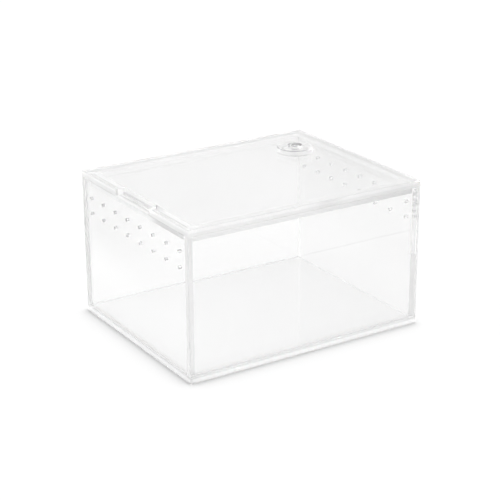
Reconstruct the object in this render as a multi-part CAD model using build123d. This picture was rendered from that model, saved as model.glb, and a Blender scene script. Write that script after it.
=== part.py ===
from build123d import *
import os

# Clear acrylic terrarium: a bonded tank, a lift-off lid and a feeding-port cap.
# Millimetres, +Z up. X runs along the long side and Y from front to back.
# The origin is the centre of the underside.

# Overall sizes
length = 200.0
width = 160.0
height = 115.0

# One sheet thickness for the floor, the walls and the lid
sheet = 5.0

# Vent holes, in rows high in the two short walls
vent_diameter = 2.5
vent_columns = 8
vent_from_edge = 13.5
vent_rows = 2
vent_row_pitch = 12.0
vent_below_rim = 14.0

# Strips under the lid that keep it in place
strip_thickness = 5.0
strip_height = 5.0
lid_clearance = 0.3

# Finger notch in the left edge of the lid
notch_length = 50.0
notch_depth = 8.0
notch_corner = 3.0

# Small break on the polished edges of the lid and the cap
edge_break = 0.3

# Feeding port: hole centre, measured from the right and the back edges
port_from_right = 37.0
port_from_back = 48.0
plug_diameter = 20.0
plug_clearance = 0.3
cap_diameter = 28.0
cap_thickness = 4.0

# Binding post and screw that hold the two discs of the cap together
post_head_diameter = 11.0
post_head_height = 1.5
post_barrel_diameter = 5.0
post_clearance = 0.15
screw_diameter = 3.0
screw_slot_width = 1.2
screw_slot_depth = 0.7

# How far a cutter stands past the face that it cuts
overcut = 1.0

# Levels and inner sizes that follow
vent_pitch = (width - 2 * vent_from_edge) / (vent_columns - 1)
wall_top = height - sheet
wall_height = wall_top - sheet
inner_length = length - 2 * sheet
inner_width = width - 2 * sheet
port_x = length / 2 - port_from_right
port_y = width / 2 - port_from_back
port_diameter = plug_diameter + 2 * plug_clearance
post_bore = post_barrel_diameter + 2 * post_clearance

BOTTOM_CENTRE = (Align.CENTER, Align.CENTER, Align.MIN)
TOP_CENTRE = (Align.CENTER, Align.CENTER, Align.MAX)


def panel(size_x, size_y, size_z, centre_x, centre_y, bottom):
    """An upright or flat sheet, given by its size, its centre in plan and its bottom level."""
    return Pos(centre_x, centre_y, bottom) * Box(size_x, size_y, size_z, align=BOTTOM_CENTRE)


def disc(diameter, thickness, bottom):
    """A flat disc on the port's axis."""
    return Pos(port_x, port_y, bottom) * Cylinder(diameter / 2, thickness, align=BOTTOM_CENTRE)


def base_panel():
    """The floor, as large as the whole footprint."""
    return panel(length, width, sheet, 0, 0, 0)


def long_wall(side):
    """The front (-1) or back (+1) wall, over the full length."""
    return panel(length, sheet, wall_height, 0, side * (width - sheet) / 2, sheet)


def short_wall(side):
    """The left (-1) or right (+1) wall, between the long walls, with its vent holes."""
    wall_x = side * (length - sheet) / 2
    wall = panel(sheet, inner_width, wall_height, wall_x, 0, sheet)
    drill = Rot(0, 90, 0) * Cylinder(vent_diameter / 2, sheet + 2 * overcut)
    for row in range(vent_rows):
        vent_z = wall_top - vent_below_rim - row * vent_row_pitch
        for column in range(vent_columns):
            vent_y = (column - (vent_columns - 1) / 2) * vent_pitch
            wall -= Pos(wall_x, vent_y, vent_z) * drill
    return wall


def notch():
    """The cut in the left edge of the lid, rounded at its two inner corners."""
    cut = panel(2 * notch_depth, notch_length, sheet + 2 * overcut, -length / 2, 0, wall_top - overcut)
    inner_edges = cut.edges().filter_by(Axis.Z).group_by(Axis.X)[-1]
    return fillet(inner_edges, notch_corner)


def lid_panel():
    """The lid sheet, with the notch, the port hole and a small break round its top edge."""
    lid = panel(length, width, sheet, 0, 0, wall_top) - notch()
    rim = lid.faces().sort_by(Axis.Z)[-1].outer_wire().edges()
    lid = chamfer(rim, edge_break)
    return lid - disc(port_diameter, sheet + 2 * overcut, wall_top - overcut)


def long_strip(side):
    """A strip under the lid inside the front (-1) or back (+1) wall."""
    strip_y = side * (inner_width / 2 - lid_clearance - strip_thickness / 2)
    strip_length = inner_length - 2 * lid_clearance
    return panel(strip_length, strip_thickness, strip_height, 0, strip_y, wall_top - strip_height)


def short_strip(side):
    """A strip under the lid inside the left (-1) or right (+1) wall, between the long strips."""
    strip_x = side * (inner_length / 2 - lid_clearance - strip_thickness / 2)
    strip_length = inner_width - 2 * lid_clearance - 2 * strip_thickness
    return panel(strip_thickness, strip_length, strip_height, strip_x, 0, wall_top - strip_height)


def cap_disc():
    """The flange of the cap, which lies on the lid, drilled for the post."""
    flange = disc(cap_diameter, cap_thickness, height)
    flange = chamfer(flange.edges().group_by(Axis.Z)[-1], edge_break)
    return flange - disc(post_bore, cap_thickness + 2 * overcut, height - overcut)


def cap_plug():
    """The disc below the flange that fills the port hole, drilled for the post."""
    plug = disc(plug_diameter, sheet, wall_top)
    return plug - disc(post_bore, sheet + 2 * overcut, wall_top - overcut)


def cap_post():
    """Flat-headed post: head on the flange, hollow barrel down through both discs."""
    head = disc(post_head_diameter, post_head_height, height + cap_thickness)
    head = chamfer(head.edges().group_by(Axis.Z)[-1], edge_break)
    barrel = disc(post_barrel_diameter, cap_thickness + sheet, wall_top)
    bore = disc(screw_diameter + 2 * post_clearance, cap_thickness + sheet, wall_top)
    return head + barrel - bore


def cap_screw():
    """Slotted screw from below, with its shank inside the post."""
    head_bottom = wall_top - post_head_height
    head = disc(post_head_diameter, post_head_height, head_bottom)
    head = chamfer(head.edges().group_by(Axis.Z)[0], edge_break)
    slot = Pos(port_x, port_y, head_bottom + screw_slot_depth)
    slot_length = post_head_diameter + 2 * overcut
    slot *= Box(slot_length, screw_slot_width, screw_slot_depth + overcut, align=TOP_CENTRE)
    return head + disc(screw_diameter, sheet, wall_top) - slot


pieces = {
    "base_panel": base_panel(),
    "front_wall": long_wall(-1),
    "back_wall": long_wall(1),
    "left_wall": short_wall(-1),
    "right_wall": short_wall(1),
    "lid_panel": lid_panel(),
    "front_rim_strip": long_strip(-1),
    "back_rim_strip": long_strip(1),
    "left_rim_strip": short_strip(-1),
    "right_rim_strip": short_strip(1),
    "cap_disc": cap_disc(),
    "cap_plug": cap_plug(),
    "cap_post": cap_post(),
    "cap_screw": cap_screw(),
}

os.makedirs("parts", exist_ok=True)
for name, shape in pieces.items():
    export_step(shape, f"parts/{name}.step")
    print(name, round(shape.volume, 1))
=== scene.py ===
"""Clear acrylic terrarium: a bonded tank, a lid that lifts off and a feeding-port cap.

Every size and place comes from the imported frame. Each sheet is rebuilt as a crisp mesh with broken
edges, and its faces are sorted into polished faces, cut edges and solvent-bonded joints, because
light behaves differently at each of them.
"""

import sys

import logging
import math
from dataclasses import dataclass
from enum import IntEnum
from functools import cache, cached_property

import bmesh
import bpy
from bmesh.types import BMEdge, BMesh, BMFace, BMVert
from bpy.types import ID, Material, Node, NodeSocket, Object, ShaderNodeTree
from mathutils import Matrix, Vector


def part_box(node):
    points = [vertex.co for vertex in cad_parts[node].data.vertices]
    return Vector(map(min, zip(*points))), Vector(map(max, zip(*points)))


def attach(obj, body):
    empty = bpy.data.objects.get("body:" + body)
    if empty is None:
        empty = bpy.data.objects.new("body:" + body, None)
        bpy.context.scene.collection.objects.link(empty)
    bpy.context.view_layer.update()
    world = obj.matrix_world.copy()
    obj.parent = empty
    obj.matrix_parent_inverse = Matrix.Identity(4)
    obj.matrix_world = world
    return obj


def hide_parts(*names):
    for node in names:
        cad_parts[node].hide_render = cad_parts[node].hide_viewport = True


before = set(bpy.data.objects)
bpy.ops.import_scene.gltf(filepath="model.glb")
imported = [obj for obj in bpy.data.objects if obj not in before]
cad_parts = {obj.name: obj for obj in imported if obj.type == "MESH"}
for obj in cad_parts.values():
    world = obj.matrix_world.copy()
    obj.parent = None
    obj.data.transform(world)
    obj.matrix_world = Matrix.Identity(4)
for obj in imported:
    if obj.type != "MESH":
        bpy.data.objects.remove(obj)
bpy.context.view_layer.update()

log = logging.getLogger("terrarium")

MM = 0.001

# Refractive index of cast acrylic
ACRYLIC_IOR = 1.49

# Points closer than this are the same
SAME = 0.001 * MM

# Share of a face's normal along an axis: above FLAT the face lies square to it, below UPRIGHT beside it
FLAT = 0.9
UPRIGHT = 0.1

# Angles between faces: above the first an edge is broken, below the second it is shaded smooth
SHARP_ANGLE = math.radians(60)
SMOOTH_ANGLE = math.radians(15)

# Corners of an outline that bend less than this are dissolved
STRAIGHT_ANGLE = math.radians(1)


class Zone(IntEnum):
    """What a face of a sheet is. The value is its material slot.

    BOND is a clear joint, and FOG, SEAM and MIST are hazy ones. REST stands on the table, and SAWN
    is for the sides a sheet names.
    """

    FACE = 0
    EDGE = 1
    BOND = 2
    BORE = 3
    REST = 4
    SAWN = 5
    FOG = 6
    SEAM = 7
    MIST = 8
    NOTCH_END = 9
    FAR_EDGE = 10


# Finishes

# What a node's input can get: another node's output, a number, or a place or direction
Feed = NodeSocket | float | tuple[float, ...]


def grey(value: float) -> tuple[float, float, float, float]:
    """An even, opaque grey as a colour, from a lightness between 0 and 1."""
    return (value, value, value, 1.0)


class NodeBench:
    """Adds nodes to one material or world and links them."""

    def __init__(self, tree: ShaderNodeTree) -> None:
        """Empties the tree.

        Args:
            tree: the node tree to fill.
        """
        self.tree = tree
        tree.nodes.clear()

    def add(self, kind: str, inputs: dict[str | int, Feed] | None = None, **values: object) -> Node:
        """Adds a node.

        Args:
            kind: the node's type name.
            inputs: what its inputs get, by name or number. A number gives a colour an even grey.
            **values: properties of the node.

        Returns:
            The new node.
        """
        node = self.tree.nodes.new(kind)
        for name, value in values.items():
            setattr(node, name, value)
        for name, value in (inputs or {}).items():
            target = node.inputs[name]
            if isinstance(value, NodeSocket):
                self.tree.links.new(value, target)
            else:
                target.default_value = grey(value) if target.type == "RGBA" else value
        return node

    def math(self, operation: str, first: Feed, second: Feed) -> NodeSocket:
        """Adds a math node on two values, and gives its result's socket."""
        return self.add("ShaderNodeMath", {0: first, 1: second}, operation=operation).outputs[0]

    def mix(self, share: Feed, first: Node, second: Node) -> Node:
        """Mixes the second shader into the first by its share, and gives the mix node."""
        inputs = {0: share, 1: first.outputs[0], 2: second.outputs[0]}
        return self.add("ShaderNodeMixShader", inputs)

    def ramp(self, value: Feed, span: tuple[float, float], low: Feed, high: Feed) -> NodeSocket:
        """Maps a value from one range to another, clamped.

        Args:
            value: the value to map.
            span: where the range starts and ends.
            low: the result at the start.
            high: the result at the end.

        Returns:
            The mapped value's socket.
        """
        inputs = {"Value": value, "From Min": span[0], "From Max": span[1], "To Min": low, "To Max": high}
        return self.add("ShaderNodeMapRange", inputs, clamp=True).outputs["Result"]

    @cached_property
    def place(self) -> NodeSocket:
        """The coordinates on the piece, which are the row frame's."""
        return self.add("ShaderNodeTexCoord").outputs["Object"]

    def along(self, axis: str) -> NodeSocket:
        """One coordinate on the piece, by its letter."""
        return self.add("ShaderNodeSeparateXYZ", {"Vector": self.place}).outputs[axis]

    def noise(self, scale: float, detail: float) -> NodeSocket:
        """Adds a noise by its features per metre and its octaves, and gives its height's socket."""
        inputs = {"Vector": self.place, "Scale": scale, "Detail": detail}
        return self.add("ShaderNodeTexNoise", inputs).outputs["Fac"]

    def bump(self, height: NodeSocket, strength: float, depth: float) -> NodeSocket:
        """Adds a fine relief.

        Args:
            height: the relief, from 0 to 1.
            strength: how much of it shows.
            depth: how deep it is, in metres.

        Returns:
            The socket of the normal that it gives.
        """
        inputs = {"Height": height, "Strength": strength, "Distance": depth}
        return self.add("ShaderNodeBump", inputs).outputs["Normal"]

    def clear(self, color: Feed = 1.0) -> Node:
        """Adds a shader that lets light straight through, tinted by a grey."""
        return self.add("ShaderNodeBsdfTransparent", {"Color": color})

    def scatter(self, color: Feed) -> Node:
        """Adds an even scatter of a grey, half of it back and half of it through."""
        kinds = ("ShaderNodeBsdfDiffuse", "ShaderNodeBsdfTranslucent")
        return self.mix(0.5, *(self.add(kind, {"Color": color}) for kind in kinds))

    def output(self, seen: Node, lamp_path: Node | None = None) -> None:
        """Makes a shader the material's surface.

        Args:
            seen: the shader.
            lamp_path: what the lamps' light meets instead of it, if that differs.
        """
        if lamp_path:
            seen = self.mix(self.add("ShaderNodeLightPath").outputs["Is Shadow Ray"], seen, lamp_path)
        self.add("ShaderNodeOutputMaterial", {"Surface": seen.outputs[0]})


def blank_material(name: str) -> tuple[Material, NodeBench]:
    """Starts a material.

    Args:
        name: its name.

    Returns:
        The material and the bench of its empty node tree.
    """
    material = bpy.data.materials.new(name)
    material.use_nodes = True
    return material, NodeBench(material.node_tree)


@dataclass(frozen=True)
class Fade:
    """A change of grey along one axis of the row frame, between two places in millimetres.

    It goes to another grey or into a second fade, and the fade in `then` starts from its result. The
    finishes use it to paint light and shade along a part.
    """

    axis: str
    start: float
    end: float
    to_color: "float | Fade"
    then: "Fade | None" = None

    def color(self, bench: NodeBench, from_color: Feed) -> NodeSocket:
        """Builds the fade.

        Args:
            bench: the material's nodes.
            from_color: the grey before the start.

        Returns:
            The grey's socket.
        """
        to_color = self.to_color
        if isinstance(to_color, Fade):
            to_color = to_color.color(bench, from_color)
        span = (self.start * MM, self.end * MM)
        faded = bench.ramp(bench.along(self.axis), span, from_color, to_color)
        return self.then.color(bench, faded) if self.then else faded


@dataclass(frozen=True)
class AcrylicFinish:
    """Clear cast acrylic: a polished face, and for the kinds below the satin that a tool leaves.

    gloss and satin are spans, the first of roughness and the second of the satin's share. The satin's
    grey follows fade and is darkened by shade, which paint light and shade onto the cut surface, and
    tint_fade paints shade into the tint. foot_haze adds to the satin's share just above the floor panel.
    straight is the share of light that passes unbent.
    """

    name: str
    tint: float = 0.974
    tint_fade: Fade | None = None
    lamp_share: float = 0.992
    gloss: tuple[float, float] = (0.0, 0.01)
    wave_scale: float = 70.0
    wave_height: float = 0.001 * MM
    satin: tuple[float, float] = (0.0, 0.01)
    satin_color: float = 0.85
    fade: Fade | None = None
    shade: Fade | None = None
    straight: float = 0.0
    foot_haze: float = 0.0

    # Octaves of the two noises, and how much finer the scuffs are
    WAVE_DETAIL = 2.0
    SCUFF_DETAIL = 5.0
    SCUFFS_PER_WAVE = 6.0

    # The part of the scuffs' range that the gloss answers to, and the satin
    GLOSS_SCUFFS = (0.35, 0.8)
    SATIN_SCUFFS = (0.3, 0.7)

    # Where the haze at the foot starts and ends, and the lamps' loss at a slant
    FOOT = (5.0 * MM, 7.8 * MM)
    SLANT_POWER = 4.0
    SLANT_LOSS = 0.08

    def polish(self, bench: NodeBench, scuffs: NodeSocket) -> Node:
        """Builds the clear, glossy part.

        Args:
            bench: the material's nodes.
            scuffs: the scuffs' noise.

        Returns:
            The shader's node.
        """
        shader = bench.add("ShaderNodeBsdfPrincipled", {
            "Base Color": self.tint,
            "IOR": ACRYLIC_IOR,
            "Transmission Weight": 1.0,
            "Roughness": bench.ramp(scuffs, self.GLOSS_SCUFFS, *self.gloss),
            "Normal": bench.bump(bench.noise(self.wave_scale, self.WAVE_DETAIL), 1.0, self.wave_height),
        })
        if self.tint_fade:
            bench.tree.links.new(self.tint_fade.color(bench, self.tint), shader.inputs["Base Color"])
        return shader

    def scattering(self, bench: NodeBench) -> Node:
        """Builds the scattering part.

        Args:
            bench: the material's nodes.

        Returns:
            The shader's node.
        """
        color = self.satin_color
        if self.fade:
            color = self.fade.color(bench, color)
        if self.shade:
            color = bench.math("MULTIPLY", color, self.shade.color(bench, 1.0))
        return bench.scatter(color)

    def lamp_path(self, bench: NodeBench) -> Node:
        """Builds what the lamps' light meets: open, but for a small loss at a slant.

        Args:
            bench: the material's nodes.

        Returns:
            The shader's node.
        """
        slant = bench.add("ShaderNodeLayerWeight", {"Blend": 0.5}).outputs["Facing"]
        loss = bench.math("MULTIPLY", bench.math("POWER", slant, self.SLANT_POWER), self.SLANT_LOSS)
        return bench.clear(bench.math("SUBTRACT", self.lamp_share, loss))

    def make(self) -> Material:
        """Builds the material.

        Returns:
            The material, with faint scuffs in its gloss and a shallow waviness.
        """
        material, bench = blank_material(self.name)
        scuffs = bench.noise(self.wave_scale * self.SCUFFS_PER_WAVE, self.SCUFF_DETAIL)
        share = bench.ramp(scuffs, self.SATIN_SCUFFS, *self.satin)
        if self.foot_haze:
            foot = bench.ramp(bench.along("Z"), self.FOOT, self.foot_haze, 0.0)
            share = bench.math("ADD", share, foot)
        surface = bench.mix(share, self.polish(bench, scuffs), self.scattering(bench))
        if self.straight:
            surface = bench.mix(self.straight, surface, bench.clear())
        bench.output(surface, self.lamp_path(bench))
        return material


@dataclass(frozen=True)
class CutEdgeFinish(AcrylicFinish):
    """A cut and flame-polished edge."""

    lamp_share: float = 0.9
    gloss: tuple[float, float] = (0.02, 0.1)
    wave_scale: float = 500.0
    wave_height: float = 0.0001 * MM
    satin: tuple[float, float] = (0.55, 0.65)
    satin_color: float = 0.75


@dataclass(frozen=True)
class RoutedEdgeFinish(CutEdgeFinish):
    """A curved edge as the router leaves it, as in the notch and round the cap."""

    gloss: tuple[float, float] = (0.1, 0.3)
    satin: tuple[float, float] = (0.7, 0.8)


@dataclass(frozen=True)
class SawnFinish(CutEdgeFinish):
    """The long side of a strip, as the saw leaves it."""

    lamp_share: float = 0.8
    gloss: tuple[float, float] = (0.15, 0.3)
    wave_height: float = 0.001 * MM
    satin: tuple[float, float] = (0.8, 0.9)


@dataclass(frozen=True)
class BoreFinish(CutEdgeFinish):
    """The wall of a drilled hole."""

    lamp_share: float = 0.7
    gloss: tuple[float, float] = (0.1, 0.3)
    wave_scale: float = 900.0
    wave_height: float = 0.006 * MM
    satin: tuple[float, float] = (0.4, 0.6)


@dataclass(frozen=True)
class BondFinish:
    """A solvent-bonded joint: light runs straight through, but for haze and a trace of bubbles.

    Where upper_haze is given, the haze changes to it over the height HAZE_STEP.
    """

    name: str
    haze: float
    haze_color: float = 0.9
    clear: float = 0.99
    fade: Fade | None = None
    upper_haze: float | None = None

    BUBBLE_SCALE = 1400.0
    BUBBLE_RIM = (0.12, 0.2)
    BUBBLE_SHARE = 0.5
    PATCH_SCALE = 90.0
    PATCH_DETAIL = 3.0
    PATCH_RIM = (0.55, 0.75)
    HAZE_STEP = (45.0 * MM, 60.0 * MM)

    def make(self) -> Material:
        """Builds the material.

        Returns:
            The material, with small pale bubbles in patches.
        """
        material, bench = blank_material(self.name)
        cells = bench.add("ShaderNodeTexVoronoi", {"Vector": bench.place, "Scale": self.BUBBLE_SCALE})
        bubbles = bench.ramp(cells.outputs["Distance"], self.BUBBLE_RIM, 1.0, 0.0)
        ground = bench.noise(self.PATCH_SCALE, self.PATCH_DETAIL)
        patches = bench.math("MULTIPLY", bubbles, bench.ramp(ground, self.PATCH_RIM, 0.0, 1.0))
        share = bench.math("MULTIPLY", patches, self.BUBBLE_SHARE)
        haze = self.haze
        if self.upper_haze is not None:
            haze = bench.ramp(bench.along("Z"), self.HAZE_STEP, haze, self.upper_haze)
        color = self.fade.color(bench, self.haze_color) if self.fade else self.haze_color
        joint = bench.mix(bench.math("ADD", share, haze), bench.clear(self.clear), bench.scatter(color))
        bench.output(joint, bench.clear())
        return material


@dataclass(frozen=True)
class PlatedSteelFinish:
    """Bright plated steel with turning marks round the post's axis."""

    name: str
    axis_x: float
    axis_y: float
    color: float
    metallic: float = 1.0

    RING_SCALE = 700.0
    RING_WAVER = 0.4
    RING_STRENGTH = 0.15
    RING_DEPTH = 0.02 * MM
    GRAIN_SCALE = 900.0
    GRAIN_DETAIL = 4.0
    GRAIN_RANGE = (0.3, 0.7)
    GLOSS = (0.18, 0.34)

    def make(self) -> Material:
        """Builds the material.

        Returns:
            The material, with fine rings and a varied gloss.
        """
        material, bench = blank_material(self.name)
        axis = {"Vector": bench.place, "Location": (-self.axis_x, -self.axis_y, 0.0)}
        centred = bench.add("ShaderNodeMapping", axis).outputs["Vector"]
        pattern = {"Vector": centred, "Scale": self.RING_SCALE, "Distortion": self.RING_WAVER}
        rings = bench.add("ShaderNodeTexWave", pattern, wave_type="RINGS", rings_direction="Z")
        grain = bench.noise(self.GRAIN_SCALE, self.GRAIN_DETAIL)
        bench.output(bench.add("ShaderNodeBsdfPrincipled", {
            "Base Color": self.color,
            "Metallic": self.metallic,
            "Roughness": bench.ramp(grain, self.GRAIN_RANGE, *self.GLOSS),
            "Normal": bench.bump(rings.outputs["Fac"], self.RING_STRENGTH, self.RING_DEPTH),
        }))
        return material


@cache
def material_of(finish: AcrylicFinish | BondFinish) -> Material:
    """The material of a finish, which is made once."""
    return finish.make()


class Finishes:
    """The terrarium's finishes.

    The greys of edges and joints are painted reflection and painted shade: they differ from sheet to sheet
    to stand in for the part of the studio that each one looks out on, and their fades paint light and
    shade softly along the sheet.
    """

    CLEAR_FACE = AcrylicFinish("acrylic_face")
    FAINT_FACE = AcrylicFinish("acrylic_face_faint", lamp_share=0.996, straight=0.85)
    # Painted light: the back-right joint gets a paler haze grey than the front-left one
    BACK_FOG = BondFinish("pale_bond_fog", 0.5, 0.825)
    # Painted shade: the left strip's joint turns darker grey along the notch
    LEFT_LID_FOG = BondFinish(
        "left_lid_bond_fog", 0.4, 0.79, fade=Fade("Y", -34.0, -24.0, 0.54, Fade("Y", 22.0, 28.0, 0.76))
    )
    # Painted shade: the inner side of the left wall's edge turns darker along the notch
    NOTCH_SHADE = Fade("Y", -30.0, -25.0, 0.72, Fade("Y", 25.0, 30.0, 0.935))
    FAINT = {Zone.FACE: FAINT_FACE, Zone.EDGE: FAINT_FACE}

    # The finish of each zone, and where the sheets and discs differ from it
    PLAIN = {
        Zone.FACE: CLEAR_FACE,
        Zone.EDGE: CutEdgeFinish("acrylic_cut_edge"),
        Zone.BOND: BondFinish("acrylic_bond", 0.0, clear=0.995),
        # The drilled wall's satin is real; its dark grey is painted shade inside the hole
        Zone.BORE: BoreFinish("acrylic_bore", satin_color=0.42),
        Zone.REST: BondFinish("acrylic_resting_face", 0.01, clear=0.995),
        Zone.SAWN: CLEAR_FACE,
        # The haze greys differ from joint to joint as painted light and shade
        Zone.FOG: BondFinish("wall_bond_fog", 0.75, 0.665),
        Zone.SEAM: BondFinish("base_bond_fog", 0.42, 0.56),
        Zone.MIST: BondFinish("right_bond_fog", 0.75, 0.605, upper_haze=0.25),
        # Painted light and shade: the notch ends are paler on their inner part and darker towards the near
        # end
        Zone.NOTCH_END: RoutedEdgeFinish(
            "acrylic_notch_end", satin_color=0.585,
            fade=Fade("X", -98.5, -98.0, 0.855), shade=Fade("Y", 0.0, -20.0, 0.85)
        ),
        # Painted shade: a darker grey for the lid's back and right edges
        Zone.FAR_EDGE: CutEdgeFinish("acrylic_lid_far_edge", satin=(0.6, 0.7), satin_color=0.72),
    }
    CHANGES = {
        "base_panel": {
            # Painted shade: the floor panel's tint darkens towards +X
            Zone.FACE: AcrylicFinish("acrylic_base_face", 0.995, Fade("X", -85.0, 60.0, 0.915)),
            Zone.SAWN: CutEdgeFinish(
                "acrylic_base_edge", lamp_share=0.02, satin_color=0.77, fade=Fade("Z", 2.8, 4.0, 0.55)
            ),
        },
        "front_wall": {
            Zone.FACE: AcrylicFinish("acrylic_face_hazy_foot", satin_color=0.505, foot_haze=0.11),
            # Painted shade: the front wall's right end is darker grey than its left end
            Zone.SAWN: CutEdgeFinish("acrylic_front_wall_ends", fade=Fade("X", -50.0, 50.0, 0.6)),
        },
        # Painted shade: the back wall's ends are a darker grey than the plain cut edge
        "back_wall": {Zone.SAWN: CutEdgeFinish("acrylic_far_edge", satin_color=0.65), Zone.FOG: BACK_FOG},
        "left_wall": {
            # Painted shade: the left wall's tint darkens in its upper part towards the back
            Zone.FACE: AcrylicFinish(
                "acrylic_left_wall_face", 0.985, Fade("Z", 45.0, 75.0, Fade("Y", -80.0, 40.0, 0.905)),
                satin_color=0.505, foot_haze=0.11
            ),
            # Painted light: the left wall's cut edges are paler than the plain cut edge, with painted shade
            # along the notch
            Zone.EDGE: CutEdgeFinish(
                "acrylic_pale_edge", satin_color=0.935, fade=Fade("X", -97.6, -96.8, NOTCH_SHADE)
            ),
        },
        "right_wall": {
            # Painted shade: the right wall's tint is greyer and darkens towards the top
            Zone.FACE: AcrylicFinish("acrylic_face_grey", 0.95, Fade("Z", 35.0, 65.0, 0.92)),
            Zone.BORE: BoreFinish("acrylic_pale_bore", satin=(0.3, 0.45), satin_color=0.45),
            Zone.FOG: BACK_FOG,
        },
        "lid_panel": {
            # Painted shade: the lid's tint darkens towards +X
            Zone.FACE: AcrylicFinish("acrylic_lid_face", tint_fade=Fade("X", 20.0, 95.0, 0.92)),
            # Painted light and shade: the lid's edge is paler in its upper part and darker towards +X
            Zone.EDGE: CutEdgeFinish(
                "acrylic_lid_edge", satin=(0.6, 0.7),
                fade=Fade("Z", 112.3, 112.9, 0.84), shade=Fade("X", 30.0, 100.0, 0.82)
            ),
            # Painted light and shade: the notch's long face is paler in its upper part and much darker at
            # the near corner
            Zone.SAWN: RoutedEdgeFinish(
                "acrylic_notch_edge", satin_color=0.6,
                fade=Fade("Z", 111.5, 112.1, 0.8), shade=Fade("Y", -20.8, -22.2, 0.32)
            ),
            Zone.SEAM: LEFT_LID_FOG,
            # Painted light: the front strip's joint gets a paler haze grey
            Zone.FOG: BondFinish("front_lid_bond_fog", 0.45, 0.77),
        },
        "front_rim_strip": {
            **FAINT,
            # Painted shade: the front strip's sawn side darkens towards +X
            Zone.SAWN: SawnFinish("acrylic_sawn_front", satin_color=0.755, fade=Fade("X", 5.0, 90.0, 0.54)),
        },
        "left_rim_strip": {
            **FAINT,
            # Painted light: the left strip's sawn side is paler along the notch and behind it than at its
            # front end
            Zone.SAWN: SawnFinish("acrylic_sawn_left", satin_color=0.51, fade=Fade("Y", -34.0, -24.0, 0.8)),
            Zone.SEAM: LEFT_LID_FOG,
        },
        "back_rim_strip": FAINT,
        "right_rim_strip": FAINT,
        "cap_disc": {
            Zone.EDGE: RoutedEdgeFinish("acrylic_cap_edge", satin=(0.6, 0.7), satin_color=0.825),
            # Painted light and shade: the cap's rim edges are dark grey on the left and pale on the right
            Zone.SAWN: RoutedEdgeFinish(
                "acrylic_cap_rim", satin=(0.8, 0.9), satin_color=0.485,
                fade=Fade("X", 65.0, 67.0, 0.955)
            ),
        },
        "cap_plug": {Zone.EDGE: CLEAR_FACE},
    }

    def __init__(self, post_x: float, post_y: float) -> None:
        """Makes the post's materials.

        Args:
            post_x: where the cap's post stands.
            post_y: the same, along Y.
        """
        self.steel = PlatedSteelFinish("post_steel", post_x, post_y, 0.75, 0.2).make()
        self.dark_head = PlatedSteelFinish("post_dark_head", post_x, post_y, 0.2).make()

    def slots(self, node: str) -> list[Material]:
        """Lists the material slots of one sheet or disc.

        Args:
            node: its CAD node.

        Returns:
            A material for each zone.
        """
        finishes = {**self.PLAIN, **self.CHANGES[node]}
        return [material_of(finishes[zone]) for zone in Zone]


# Meshes


@dataclass
class NodeBox:
    """The box of a CAD node."""

    low: Vector
    high: Vector

    @classmethod
    def of(cls, node: str) -> "NodeBox":
        """Reads the box from the frame."""
        low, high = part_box(node)
        return cls(low, high)

    def holds(self, point: Vector) -> bool:
        """True if the point is inside."""
        return all(self.low[i] < point[i] < self.high[i] for i in range(3))

    @property
    def centre(self) -> Vector:
        """The middle of the box."""
        return (self.low + self.high) / 2

    @property
    def size(self) -> Vector:
        """The length of each side."""
        return self.high - self.low


def cut(bm: BMesh, point: Vector, normal: Vector) -> None:
    """Divides a mesh along the plane with this point and normal."""
    geom = bm.verts[:] + bm.edges[:] + bm.faces[:]
    bmesh.ops.bisect_plane(bm, geom=geom, dist=SAME, plane_co=point, plane_no=normal)


def extrude(bm: BMesh, height: float) -> None:
    """Gives a flat mesh a thickness.

    Args:
        bm: the flat mesh.
        height: how far along Z it is drawn.
    """
    made = bmesh.ops.extrude_face_region(bm, geom=bm.faces[:])
    moved = [item for item in made["geom"] if isinstance(item, BMVert)]
    bmesh.ops.translate(bm, vec=(0.0, 0.0, height), verts=moved)


def bevel(
    bm: BMesh, geom: list[BMEdge] | list[BMVert], offset: float, affect: str, segments: int = 2
) -> None:
    """Breaks edges, or the corners of an outline.

    Args:
        bm: the mesh.
        geom: the edges or the corners.
        offset: how far the break reaches.
        affect: "EDGES" or "VERTICES".
        segments: how many steps it has.
    """
    bmesh.ops.bevel(
        bm, geom=geom, offset=offset, offset_type="OFFSET", segments=segments, profile=0.5,
        affect=affect, clamp_overlap=True, material=-1
    )


@dataclass(frozen=True)
class Hole:
    """A round hole through a sheet, placed in the row frame."""

    centre: Vector
    radius: float
    segments: int = 32


@dataclass(frozen=True)
class Joint:
    """A bonded neighbour of a sheet, and the zone where the two meet."""

    node: str
    zone: Zone


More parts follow.
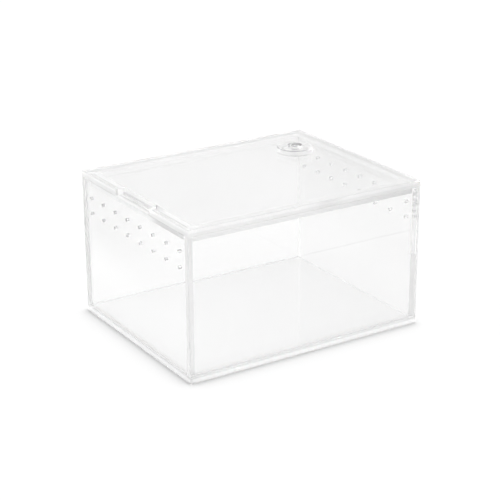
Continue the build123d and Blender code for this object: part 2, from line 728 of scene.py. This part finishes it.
@dataclass
class Sheet:
    """One acrylic sheet: cut out, drilled, its bonded places marked and its free edges broken."""

    node: str
    body: str
    through: int
    joints: tuple[Joint, ...] = ()
    holes: tuple[Hole, ...] = ()
    top_gap: float = 0.0
    edge_break: float = 0.3 * MM
    sawn_sides: tuple[tuple[float, float, float], ...] = ()

    # How far outside a face its neighbour is looked for
    PROBE = 0.05 * MM
    JOINED = (Zone.BOND, Zone.FOG, Zone.SEAM, Zone.MIST)

    # A hole's wall lies within this many radii, and only below this reach does it count as a bore
    BORE_REACH = 1.1
    WIDEST_BORE = 3.0 * MM

    def __post_init__(self) -> None:
        """Works out the trimmed box and the sheet's own axes."""
        box = NodeBox.of(self.node)
        self.box = NodeBox(box.low, box.high - Vector((0.0, 0.0, self.top_gap)))
        self.along = ((self.through + 1) % 3, (self.through + 2) % 3)
        self.bonds = [(NodeBox.of(joint.node), joint.zone) for joint in self.joints]

    def to_row(self) -> Matrix:
        """Finds the turn from the sheet's own axes (across, up, through) to the row's.

        Returns:
            The turn.
        """
        turn = Matrix.Identity(4)
        for own, row in enumerate((*self.along, self.through)):
            for other in range(3):
                turn[other][own] = 1.0 if other == row else 0.0
        return turn

    def blank(self) -> BMesh:
        """Draws the flat outline, in the sheet's own axes.

        Returns:
            The outline, as one face.
        """
        first, second = self.along
        size, middle = self.box.size, self.box.centre
        bm = bmesh.new()
        bmesh.ops.create_grid(bm, x_segments=1, y_segments=1, size=0.5)
        bmesh.ops.scale(bm, vec=(size[first], size[second], 1.0), verts=bm.verts)
        place = (middle[first], middle[second], self.box.low[self.through])
        bmesh.ops.translate(bm, vec=place, verts=bm.verts)
        return bm

    def drill(self, bm: BMesh) -> None:
        """Opens the holes in the flat outline.

        Args:
            bm: the flat outline.
        """
        first, second = self.along
        bmesh.ops.delete(bm, geom=bm.faces[:], context="FACES_ONLY")
        for hole in self.holes:
            centre = (hole.centre[first], hole.centre[second], self.box.low[self.through])
            bmesh.ops.create_circle(
                bm, cap_ends=False, radius=hole.radius, segments=hole.segments,
                matrix=Matrix.Translation(centre)
            )
        bmesh.ops.triangle_fill(bm, use_beauty=True, use_dissolve=False, edges=bm.edges[:])

    def thicken(self, bm: BMesh) -> None:
        """Gives the flat outline the sheet's thickness and puts it in the row frame.

        Args:
            bm: the flat outline.
        """
        extrude(bm, self.box.size[self.through])
        bmesh.ops.transform(bm, matrix=self.to_row(), verts=bm.verts)
        bmesh.ops.recalc_face_normals(bm, faces=bm.faces[:])

    def score(self, bm: BMesh) -> None:
        """Cuts the faces along the borders of the bonded places.

        Args:
            bm: the solid sheet.
        """
        for box, _ in self.bonds:
            for axis in range(3):
                normal = Vector([1.0 if i == axis else 0.0 for i in range(3)])
                for level in (box.low[axis], box.high[axis]):
                    if self.box.low[axis] + SAME < level < self.box.high[axis] - SAME:
                        cut(bm, normal * level, normal)

    def zone_of(self, face: BMFace) -> Zone:
        """Tells what a face is.

        Args:
            face: the face.

        Returns:
            The joint's zone where a bonded sheet lies just outside, else a zone by its direction.
        """
        outside = face.calc_center_median() + face.normal * self.PROBE
        for box, zone in self.bonds:
            if box.holds(outside):
                return zone
        if outside.z < 0.0:
            return Zone.REST
        if any(face.normal.dot(Vector(side)) > FLAT for side in self.sawn_sides):
            return Zone.SAWN
        if abs(face.normal[self.through]) > FLAT:
            return Zone.FACE
        return Zone.BORE if self.in_bore(face) else Zone.EDGE

    def in_bore(self, face: BMFace) -> bool:
        """Tells whether a face is the wall of one of the small holes.

        Args:
            face: the face.

        Returns:
            True if it is.
        """
        middle = face.calc_center_median()
        for hole in self.holes:
            offset = middle - hole.centre
            offset[self.through] = 0.0
            if offset.length < hole.radius * self.BORE_REACH < self.WIDEST_BORE:
                return True
        return False

    def break_edges(self, bm: BMesh) -> None:
        """Bevels the sharp edges that no bonded face touches.

        Args:
            bm: the solid sheet, its zones marked.
        """
        sharp = [
            edge
            for edge in bm.edges
            if len(edge.link_faces) == 2
            and edge.calc_face_angle(0.0) > SHARP_ANGLE
            and all(face.material_index not in self.JOINED for face in edge.link_faces)
        ]
        bevel(bm, sharp, self.edge_break, "EDGES")

    def build(self, finishes: Finishes) -> Object:
        """Makes the sheet's mesh and its piece.

        Args:
            finishes: the materials.

        Returns:
            The piece, riding on its body in place of its CAD node.
        """
        bm = self.blank()
        if self.holes:
            self.drill(bm)
        self.thicken(bm)
        self.score(bm)
        for face in bm.faces:
            face.material_index = self.zone_of(face)
        self.break_edges(bm)
        materials = finishes.slots(self.node)
        return piece_from(bm, f"{self.node}_sheet", self.body, (self.node,), materials)


def add_object(name: str, data: ID) -> Object:
    """Puts an object in the scene.

    Args:
        name: its name.
        data: its mesh, camera or light.

    Returns:
        The new object.
    """
    new = bpy.data.objects.new(name, data)
    bpy.context.scene.collection.objects.link(new)
    return new


def piece_from(
    bm: BMesh, name: str, body: str, nodes: tuple[str, ...], materials: list[Material]
) -> Object:
    """Turns a bmesh into a piece of the terrarium.

    Args:
        bm: the finished mesh, which is freed.
        name: the piece's name.
        body: the body that it rides on.
        nodes: the CAD nodes that it stands for.
        materials: its material slots.

    Returns:
        The new object.
    """
    for edge in bm.edges:
        edge.smooth = edge.calc_face_angle(0.0) < SMOOTH_ANGLE
    for face in bm.faces:
        face.smooth = True
    mesh = bpy.data.meshes.new(name)
    bm.to_mesh(mesh)
    bm.free()
    for material in materials:
        mesh.materials.append(material)
    piece = add_object(name, mesh)
    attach(piece, body)
    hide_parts(*nodes)
    log.info("%s: %d faces", name, len(mesh.polygons))
    return piece


# Sub-assemblies


@dataclass
class Tank:
    """The bonded tank: floor, two long walls and two drilled short walls."""

    finishes: Finishes
    air_gap: float = 0.05 * MM
    vent_radius: float = 1.25 * MM
    vent_columns: int = 8
    vent_rows: int = 2
    vent_pitch: float = 19.0 * MM
    vent_row_pitch: float = 12.0 * MM
    vent_below_rim: float = 14.0 * MM
    drilled_break: float = 0.15 * MM

    SHEETS = ("base_panel", "front_wall", "back_wall", "left_wall", "right_wall")
    JOINTS = {
        frozenset(("base_panel", "front_wall")): Zone.SEAM,
        frozenset(("base_panel", "left_wall")): Zone.SEAM,
        frozenset(("base_panel", "back_wall")): Zone.SEAM,
        frozenset(("base_panel", "right_wall")): Zone.MIST,
        frozenset(("back_wall", "right_wall")): Zone.FOG,
        frozenset(("front_wall", "left_wall")): Zone.FOG,
        frozenset(("front_wall", "right_wall")): Zone.MIST,
        frozenset(("back_wall", "left_wall")): Zone.SEAM,
    }

    def joints(self, node: str) -> tuple[Joint, ...]:
        """The joints of one sheet, clear where nothing else is named."""
        others = (name for name in self.SHEETS if name != node)
        return tuple(
            Joint(name, self.JOINTS.get(frozenset((name, node)), Zone.BOND)) for name in others
        )

    def vents(self, wall: str) -> tuple[Hole, ...]:
        """Places the vent holes of a short wall.

        Args:
            wall: the wall's node.

        Returns:
            The holes, in rows along Y.
        """
        box = NodeBox.of(wall)
        holes = []
        for row in range(self.vent_rows):
            up = box.high.z - self.vent_below_rim - row * self.vent_row_pitch
            for column in range(self.vent_columns):
                across = (column - (self.vent_columns - 1) / 2) * self.vent_pitch
                holes.append(Hole(Vector((box.centre.x, across, up)), self.vent_radius))
        return tuple(holes)

    def build(self) -> list[Object]:
        """Makes the five sheets.

        Returns:
            The pieces.
        """
        sheets = []
        for node in self.SHEETS:
            joints = self.joints(node)
            if node == "base_panel":
                sheet = Sheet(node, "tank", 2, joints, sawn_sides=((0, -1, 0), (-1, 0, 0)))
            elif node in ("front_wall", "back_wall"):
                ends = ((-1, 0, 0), (1, 0, 0))
                sheet = Sheet(node, "tank", 1, joints, top_gap=self.air_gap, sawn_sides=ends)
            else:
                sheet = Sheet(node, "tank", 0, joints, self.vents(node), self.air_gap, self.drilled_break)
            sheets.append(sheet.build(self.finishes))
        return sheets


@dataclass
class NotchedSheet(Sheet):
    """The lid sheet, with a finger notch in its left edge."""

    notch_length: float = 50.0 * MM
    notch_depth: float = 8.0 * MM
    notch_corner: float = 3.0 * MM
    corner_segments: int = 8

    def zone_of(self, face: BMFace) -> Zone:
        """Tells what a face is, with the notch's own faces apart.

        Args:
            face: the face.

        Returns:
            SAWN for the notch's long face, NOTCH_END for its ends, FAR_EDGE for the back and right
            edges, else the plain sheet's answer.
        """
        zone = super().zone_of(face)
        if zone != Zone.EDGE:
            return zone
        middle = face.calc_center_median()
        in_depth = middle.x < self.box.low.x + self.notch_depth + SAME
        if in_depth and abs(middle.y) < self.notch_length / 2 + SAME:
            return Zone.NOTCH_END if abs(face.normal.y) > FLAT else Zone.SAWN
        return Zone.FAR_EDGE if max(face.normal.x, face.normal.y) > FLAT else zone

    def blank(self) -> BMesh:
        """Draws the flat outline, with the notch cut out and its inner corners rounded.

        Returns:
            The outline, as one face.
        """
        bm = super().blank()
        inner = self.box.low.x + self.notch_depth
        half = self.notch_length / 2
        cut(bm, Vector((inner, 0.0, 0.0)), Vector((1.0, 0.0, 0.0)))
        for level in (-half, half):
            cut(bm, Vector((0.0, level, 0.0)), Vector((0.0, 1.0, 0.0)))
        middles = [(face, face.calc_center_median()) for face in bm.faces]
        waste = [face for face, middle in middles if middle.x < inner and abs(middle.y) < half]
        bmesh.ops.delete(bm, geom=waste, context="FACES")
        bmesh.ops.dissolve_faces(bm, faces=bm.faces[:])
        straight = [
            vert
            for vert in bm.verts
            if len(vert.link_edges) == 2 and vert.calc_edge_angle(0.0) < STRAIGHT_ANGLE
        ]
        bmesh.ops.dissolve_verts(bm, verts=straight)
        corners = [
            vert
            for vert in bm.verts
            if abs(vert.co.x - inner) < SAME and abs(vert.co.y) < half + SAME
        ]
        bevel(bm, corners, self.notch_corner, "VERTICES", self.corner_segments)
        return bm


@dataclass
class Lid:
    """The lid: a notched sheet with the port hole, and four strips bonded under it."""

    finishes: Finishes
    port_clearance: float = 0.3 * MM
    port_segments: int = 96
    lid_break: float = 0.15 * MM
    strip_break: float = 0.08 * MM

    STRIPS = {
        "front_rim_strip": (Zone.FOG, ((0, -1, 0),)),
        "back_rim_strip": (Zone.FOG, ()),
        "left_rim_strip": (Zone.SEAM, ((-1, 0, 0),)),
        "right_rim_strip": (Zone.FOG, ()),
    }

    def build(self) -> list[Object]:
        """Makes the sheet and the strips.

        Returns:
            The pieces.
        """
        plug = NodeBox.of("cap_plug")
        port = Hole(plug.centre, plug.size.x / 2 + self.port_clearance, self.port_segments)
        joints = tuple(Joint(strip, zone) for strip, (zone, _) in self.STRIPS.items())
        sheets = [NotchedSheet("lid_panel", "lid", 2, joints, (port,), edge_break=self.lid_break)]
        for strip, (zone, sides) in self.STRIPS.items():
            others = (Joint(name, Zone.BOND) for name in self.STRIPS if name != strip)
            sheets.append(Sheet(
                strip, "lid", 1 if strip in ("front_rim_strip", "back_rim_strip") else 0,
                (Joint("lid_panel", zone), *others), edge_break=self.strip_break, sawn_sides=sides
            ))
        return [sheet.build(self.finishes) for sheet in sheets]


@dataclass
class PortCap:
    """The cap of the feeding port: flange, plug, and the steel post that joins them."""

    finishes: Finishes
    air_gap: float = 0.04 * MM
    bore_radius: float = 2.65 * MM
    edge_break: float = 0.5 * MM
    head_height: float = 1.5 * MM
    head_break: float = 0.3 * MM
    barrel_radius: float = 2.5 * MM
    shank_bore: float = 1.65 * MM
    shank_radius: float = 1.5 * MM
    slot_width: float = 1.2 * MM
    slot_depth: float = 0.7 * MM
    steps: int = 96

    # Longer edges on the screw's underside are the slot's
    RIM_STEP = 1.0 * MM

    # The middle of the head's broken edge lies this share of head_break inside its corner
    CORNER_SHARE = 0.3

    def settle(self, bm: BMesh, box: NodeBox) -> None:
        """Turns a round mesh's faces outward and moves it onto the axis of its node's box."""
        bmesh.ops.recalc_face_normals(bm, faces=bm.faces[:])
        bmesh.ops.translate(bm, vec=(box.centre.x, box.centre.y, 0.0), verts=bm.verts)

    def turn(self, bm: BMesh, box: NodeBox) -> None:
        """Spins a half section into a round mesh on the port's axis.

        Args:
            bm: the section's edges, in the plane of X and Z.
            box: its node's box.
        """
        bmesh.ops.spin(
            bm, geom=bm.verts[:] + bm.edges[:], cent=(0, 0, 0), axis=(0, 0, 1), dvec=(0, 0, 0),
            angle=math.tau, steps=self.steps, use_merge=True
        )
        bmesh.ops.remove_doubles(bm, verts=bm.verts[:], dist=SAME)
        self.settle(bm, box)

    def ring(self, node: str) -> Object:
        """Turns one drilled disc, with a little air above and below it.

        Args:
            node: its CAD node.

        Returns:
            The piece.
        """
        box = NodeBox.of(node)
        low, high = box.low.z + self.air_gap, box.high.z - self.air_gap
        inner, outer = self.bore_radius, box.size.x / 2
        bm = bmesh.new()
        corners = ((inner, low), (outer, low), (outer, high), (inner, high))
        verts = [bm.verts.new((radius, 0.0, level)) for radius, level in corners]
        for index, vert in enumerate(verts):
            bm.edges.new((vert, verts[(index + 1) % len(verts)]))
        bevel(bm, verts, self.edge_break, "VERTICES")
        self.turn(bm, box)
        for face in bm.faces:
            face.material_index = self.ring_zone(face, box)
        materials = self.finishes.slots(node)
        return piece_from(bm, f"{node}_ring", "port_cap", (node,), materials)

    def ring_zone(self, face: BMFace, box: NodeBox) -> Zone:
        """Tells what a face of a drilled disc is.

        Args:
            face: the face.
            box: the disc's box.

        Returns:
            FACE for the flat sides and the bore, EDGE for the outer wall, SAWN for its broken edges.
        """
        middle = face.calc_center_median()
        middle.z = box.centre.z
        if abs(face.normal.z) > FLAT or (middle - box.centre).length < 2 * self.bore_radius:
            return Zone.FACE
        return Zone.EDGE if abs(face.normal.z) < UPRIGHT else Zone.SAWN

    def post(self) -> Object:
        """Turns the post: a flat head on the flange and a hollow barrel through both discs.

        Returns:
            The piece.
        """
        box = NodeBox.of("cap_post")
        head, rim, crown = box.size.x / 2, self.head_break, box.high.z
        inset = self.CORNER_SHARE * rim
        seat = crown - self.head_height
        profile = (
            (0.0, crown), (head - rim, crown), (head - inset, crown - inset), (head, crown - rim),
            (head, seat), (self.barrel_radius, seat), (self.barrel_radius, box.low.z),
            (self.shank_bore, box.low.z), (self.shank_bore, seat), (0.0, seat),
        )
        bm = bmesh.new()
        verts = [bm.verts.new((radius, 0.0, level)) for radius, level in profile]
        for first, second in zip(verts, verts[1:]):
            bm.edges.new((first, second))
        self.turn(bm, box)
        for face in bm.faces:
            face.material_index = int(face.calc_center_median().z > crown - rim)
        materials = [self.finishes.steel, self.finishes.dark_head]
        return piece_from(bm, "post_turned", "port_cap", ("cap_post",), materials)

    def screw_blank(self, box: NodeBox) -> BMesh:
        """Makes the screw down to the bottom of its slot: the shank on a part of the head.

        Args:
            box: the screw's box.

        Returns:
            The mesh, round the row's Z axis.
        """
        head_radius, seat, tip = box.size.x / 2, box.low.z + self.head_height, box.high.z
        bm = bmesh.new()
        bmesh.ops.create_circle(bm, cap_ends=True, radius=head_radius, segments=self.steps)
        bmesh.ops.translate(bm, vec=(0.0, 0.0, seat), verts=bm.verts)
        extrude(bm, self.slot_depth - self.head_height)
        bmesh.ops.recalc_face_normals(bm, faces=bm.faces[:])
        top = max(bm.faces, key=lambda face: face.normal.z)
        inset = head_radius - self.shank_radius
        bmesh.ops.inset_individual(bm, faces=[top], thickness=inset, use_even_offset=True)
        self.pull(bm, top, tip - seat)
        tip_edges = [edge for edge in bm.edges if min(vert.co.z for vert in edge.verts) > tip - SAME]
        bevel(bm, tip_edges, self.edge_break, "EDGES")
        return bm

    def slot_lands(self, bm: BMesh) -> list[BMFace]:
        """Divides the blank's underside along both sides of the slot.

        Args:
            bm: the blank.

        Returns:
            The two faces beside the slot.
        """
        parts = [min(bm.faces, key=lambda face: face.normal.z)]
        half = self.slot_width / 2
        for level in (-half, half):
            edges = {edge for face in parts for edge in face.edges}
            verts = {vert for face in parts for vert in face.verts}
            made = bmesh.ops.bisect_plane(
                bm, geom=[*parts, *edges, *verts], dist=SAME, plane_co=(0.0, level, 0.0), plane_no=(0, 1, 0)
            )
            parts = [item for item in made["geom"] if isinstance(item, BMFace)]
        return [face for face in parts if abs(face.calc_center_median().y) > half]

    def screw(self) -> Object:
        """Makes the screw from below: a flat head with a driver slot, and its shank.

        Returns:
            The piece.
        """
        box = NodeBox.of("cap_screw")
        bm = self.screw_blank(box)
        for land in self.slot_lands(bm):
            self.pull(bm, land, -self.slot_depth)
        underside = [
            edge for edge in bm.edges if max(vert.co.z for vert in edge.verts) < box.low.z + SAME
        ]
        rim = [edge for edge in underside if edge.calc_length() < self.RIM_STEP]
        bevel(bm, rim, self.head_break, "EDGES")
        self.settle(bm, box)
        materials = [self.finishes.steel]
        return piece_from(bm, "screw_slotted", "port_cap", ("cap_screw",), materials)

    def pull(self, bm: BMesh, face: BMFace, height: float) -> None:
        """Draws one face up or down into a block and drops the face that it left.

        Args:
            bm: the mesh.
            face: the flat face.
            height: how far it goes, along Z.
        """
        made = bmesh.ops.extrude_discrete_faces(bm, faces=[face])
        moved = {vert for item in made["faces"] for vert in item.verts}
        bmesh.ops.translate(bm, vec=(0.0, 0.0, height), verts=list(moved))

    def build(self) -> list[Object]:
        """Makes the two discs, the post and its screw.

        Returns:
            The pieces.
        """
        return [self.ring("cap_disc"), self.ring("cap_plug"), self.post(), self.screw()]


# Studio


@dataclass
class Studio:
    """Floor, backdrop, lamps and the camera that takes the photograph's view.

    Lengths are in metres and angles in degrees.
    """

    focal_share: float = 1490.72 / 500.0
    azimuth: float = -32.403
    elevation: float = 20.913
    roll: float = -0.238
    distance: float = 1.1609
    aim_right: float = 0.0001
    aim_up: float = 0.05119
    sensor: float = 36.0
    nearest: float = 0.01
    farthest: float = 50.0
    floor_half: float = 6.0
    floor_gap: float = 0.02 * MM
    floor_color: float = 0.8
    sky_power: float = 4.12
    bounce_power: float = 3.0
    studio_level: float = 0.95
    flag_level: float = 0.58
    flag_from: float = 0.4
    flag_toward: tuple[float, float, float] = (-0.35, 0.87, 0.35)
    sky_width: float = 170.0
    max_bounces: int = 64

    def camera(self) -> None:
        """Places the camera as the photograph's was."""
        angles = (self.azimuth, self.elevation, self.roll)
        turn, lift, twist = (math.radians(angle) for angle in angles)
        reach = math.cos(lift)
        back = Vector((math.sin(turn) * reach, -math.cos(turn) * reach, math.sin(lift)))
        level = Vector((math.cos(turn), math.sin(turn), 0.0))
        upright = back.cross(level)
        right = level * math.cos(twist) + upright * math.sin(twist)
        up = upright * math.cos(twist) - level * math.sin(twist)
        data = bpy.data.cameras.new("camera")
        data.sensor_width = self.sensor
        data.lens = self.focal_share * self.sensor
        data.clip_start, data.clip_end = self.nearest, self.farthest
        camera = add_object("camera", data)
        place = Matrix.Translation(back * self.distance + right * self.aim_right + up * self.aim_up)
        camera.matrix_world = place @ Matrix((right, up, back)).transposed().to_4x4()
        bpy.context.scene.camera = camera

    def floor(self) -> None:
        """Lays a white floor that keeps the object's shadow."""
        bm = bmesh.new()
        bmesh.ops.create_grid(bm, x_segments=1, y_segments=1, size=self.floor_half)
        mesh = bpy.data.meshes.new("studio_floor")
        bm.to_mesh(mesh)
        bm.free()
        floor = add_object("studio_floor", mesh)
        floor.location.z = -self.floor_gap
        floor.visible_shadow = False
        material, bench = blank_material("studio_floor_white")
        bench.output(bench.add("ShaderNodeBsdfDiffuse", {"Color": self.floor_color}))
        mesh.materials.append(material)

    def backdrop(self) -> None:
        """Shows white to the camera, and to what mirrors or bends light a studio with a darker side."""
        world = bpy.data.worlds.new("studio_world")
        world.use_nodes = True
        bench = NodeBench(world.node_tree)
        around = bench.add("ShaderNodeTexCoord").outputs["Generated"]
        sides = {0: around, 1: self.flag_toward}
        toward = bench.add("ShaderNodeVectorMath", sides, operation="DOT_PRODUCT")
        span = (self.flag_from, 1.0)
        level = bench.ramp(toward.outputs["Value"], span, self.studio_level, self.flag_level)
        path = bench.add("ShaderNodeLightPath").outputs
        glassy = bench.math("MAXIMUM", path["Is Glossy Ray"], path["Is Transmission Ray"])
        mirrored, plain, dark = (
            bench.add("ShaderNodeBackground", {"Color": 1.0, "Strength": strength})
            for strength in (level, 1.0, 0.0)
        )
        sky = bench.mix(path["Is Camera Ray"], bench.mix(glassy, dark, mirrored), plain)
        bench.add("ShaderNodeOutputWorld", {"Surface": sky.outputs[0]})
        world.cycles.sampling_method = "NONE"
        bpy.context.scene.world = world

    def sky_lamp(self, name: str, toward: Vector, power: float) -> None:
        """Adds a dome of soft light that only lights things and is never seen.

        Args:
            name: its name.
            toward: the direction that its middle shines from.
            power: its strength.
        """
        data = bpy.data.lights.new(name, "SUN")
        data.angle = math.radians(self.sky_width)
        data.energy = power
        data.cycles.use_multiple_importance_sampling = False
        lamp = add_object(name, data)
        lamp.matrix_world = toward.to_track_quat("Z", "Y").to_matrix().to_4x4()

    def light_paths(self) -> None:
        """Lets light bounce often enough to run the length of a clear sheet."""
        scene = bpy.context.scene
        scene.view_settings.view_transform = "Standard"
        cycles = scene.cycles
        for kind in "max", "glossy", "transmission", "transparent_max":
            setattr(cycles, f"{kind}_bounces", self.max_bounces)
        cycles.diffuse_bounces = 0
        cycles.caustics_reflective = False
        cycles.caustics_refractive = False
        cycles.use_denoising = True

    def build(self) -> None:
        """Sets up the studio."""
        self.camera()
        self.floor()
        self.backdrop()
        self.sky_lamp("studio_sky", Vector((0.0, 0.0, 1.0)), self.sky_power)
        self.sky_lamp("floor_bounce", Vector((0.0, 0.0, -1.0)), self.bounce_power)
        self.light_paths()


def main() -> None:
    """Builds the terrarium and its studio."""
    logging.basicConfig(level=logging.INFO, format="%(name)s %(message)s", stream=sys.stdout)
    post = NodeBox.of("cap_post").centre
    finishes = Finishes(post.x, post.y)
    for part in (Tank(finishes), Lid(finishes), PortCap(finishes)):
        made = part.build()
        log.info("%s: %d pieces", type(part).__name__, len(made))
    Studio().build()


if __name__ == "__main__":
    main()
